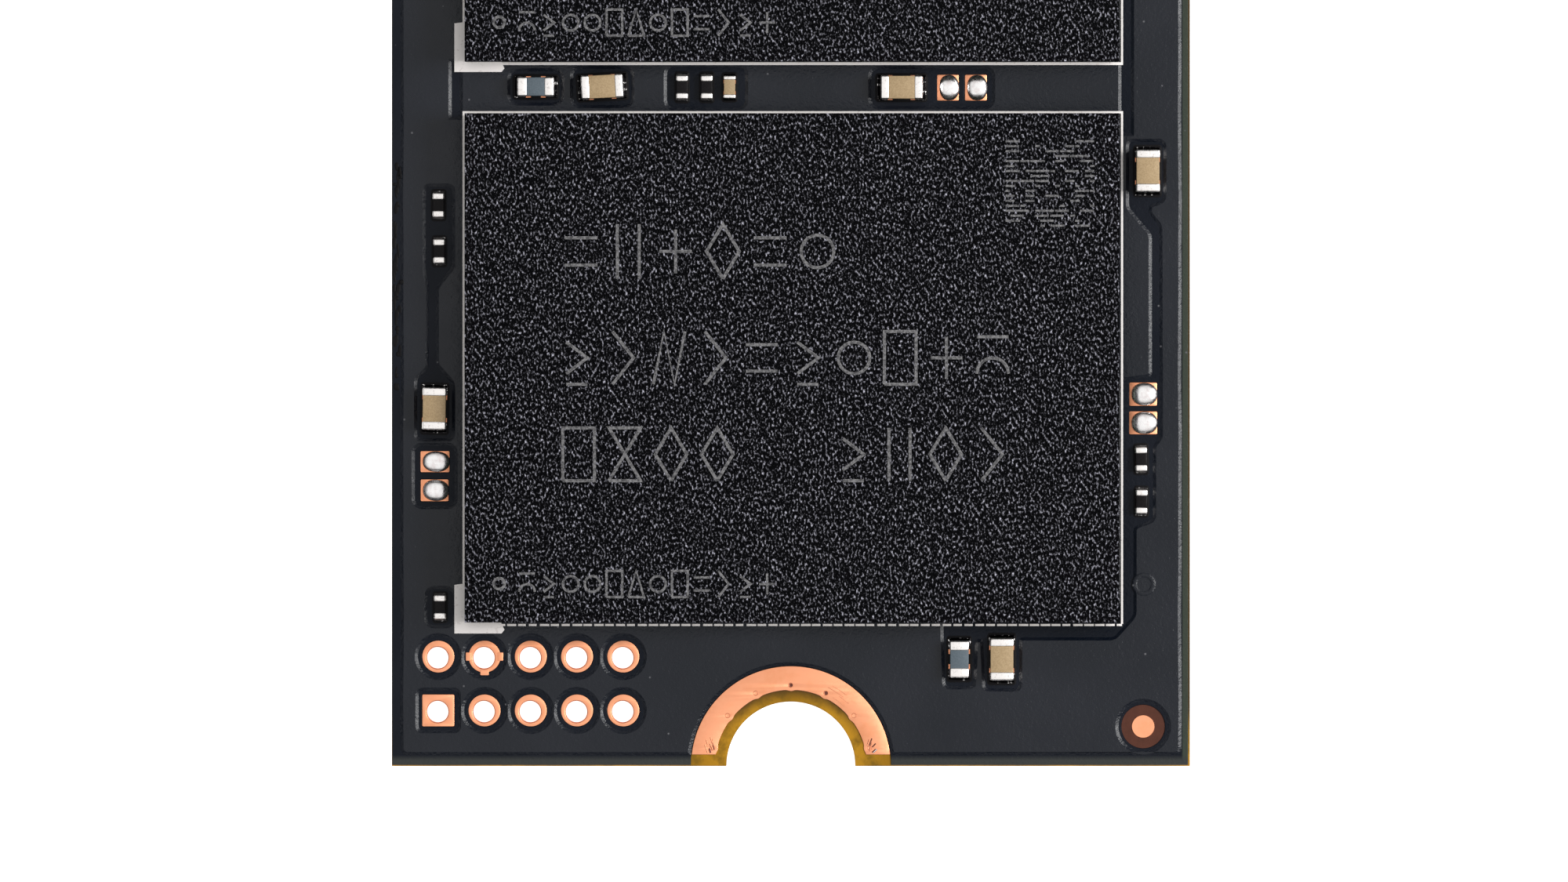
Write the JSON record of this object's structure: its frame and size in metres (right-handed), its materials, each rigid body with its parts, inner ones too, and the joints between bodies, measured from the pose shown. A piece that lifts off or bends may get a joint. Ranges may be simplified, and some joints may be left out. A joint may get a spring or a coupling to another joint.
{
  "type": "solid state drive",
  "caption": "Flat memory card on a black board: flash, cache and controller packages on one face, a keyed contact plug at one end and a half-round screw seat at the other.",
  "frame": {"origin": "middle of the underside of the board", "axes": "+Y along the card towards the contact plug, +Z out of the face that carries the packages, +X to the right when the packages face the reader and the plug points up"},
  "size_m": [0.022, 0.08, 0.0021],
  "materials": {
    "board_laminate": "satin",
    "solder_mask": "satin",
    "bare_copper": "polished",
    "contact_gold": "polished",
    "package_mould": "satin",
    "package_substrate": "satin",
    "silicon": "gloss",
    "capacitor_beige": "satin",
    "capacitor_grey": "satin",
    "resistor_black": "satin",
    "ferrite": "matte",
    "crystal_can": "satin"
  },
  "bodies": {
    "root": {"board_laminate": "board_laminate", "boot_memory": "package_mould", "bulk_capacitor_1": "capacitor_beige", "bulk_capacitor_2": "capacitor_beige", "cache_memory_die_stack": "silicon", "cache_memory_mould_cap": "package_mould", "cache_memory_substrate": "package_substrate", "capacitor_1": "capacitor_beige", "capacitor_2": "capacitor_grey", "capacitor_3": "capacitor_beige", "capacitor_4": "capacitor_beige", "capacitor_5": "capacitor_grey", "capacitor_6": "capacitor_beige", "capacitor_7": "capacitor_beige", "capacitor_8": "capacitor_beige", "clock_crystal": "crystal_can", "controller_die_stack": "silicon", "controller_mould_cap": "package_mould", "controller_substrate": "package_substrate", "edge_contacts_bottom_long": "contact_gold", "edge_contacts_bottom_short": "contact_gold", "edge_contacts_top_long": "contact_gold", "edge_contacts_top_short": "contact_gold", "flash_1_die_stack": "silicon", "flash_1_mould_cap": "package_mould", "flash_1_substrate": "package_substrate", "flash_2_die_stack": "silicon", "flash_2_mould_cap": "package_mould", "flash_2_substrate": "package_substrate", "header_barrel_1": "bare_copper", "header_barrel_10": "bare_copper", "header_barrel_2": "bare_copper", "header_barrel_3": "bare_copper", "header_barrel_4": "bare_copper", "header_barrel_5": "bare_copper", "header_barrel_6": "bare_copper", "header_barrel_7": "bare_copper", "header_barrel_8": "bare_copper", "header_barrel_9": "bare_copper", "input_fuse": "resistor_black", "load_switch": "package_mould", "power_inductor_1": "ferrite", "power_inductor_2": "ferrite", "power_inductor_3": "ferrite", "power_inductor_4": "ferrite", "power_manager": "package_mould", "resistor_1": "resistor_black", "resistor_2": "resistor_black", "resistor_3": "resistor_black", "resistor_4": "resistor_black", "resistor_5": "resistor_black", "resistor_6": "resistor_black", "resistor_7": "resistor_black", "screw_seat_ring_bottom": "bare_copper", "screw_seat_ring_top": "bare_copper", "solder_mask_bottom": "solder_mask", "solder_mask_top": "solder_mask"}
  },
  "joints": []
}
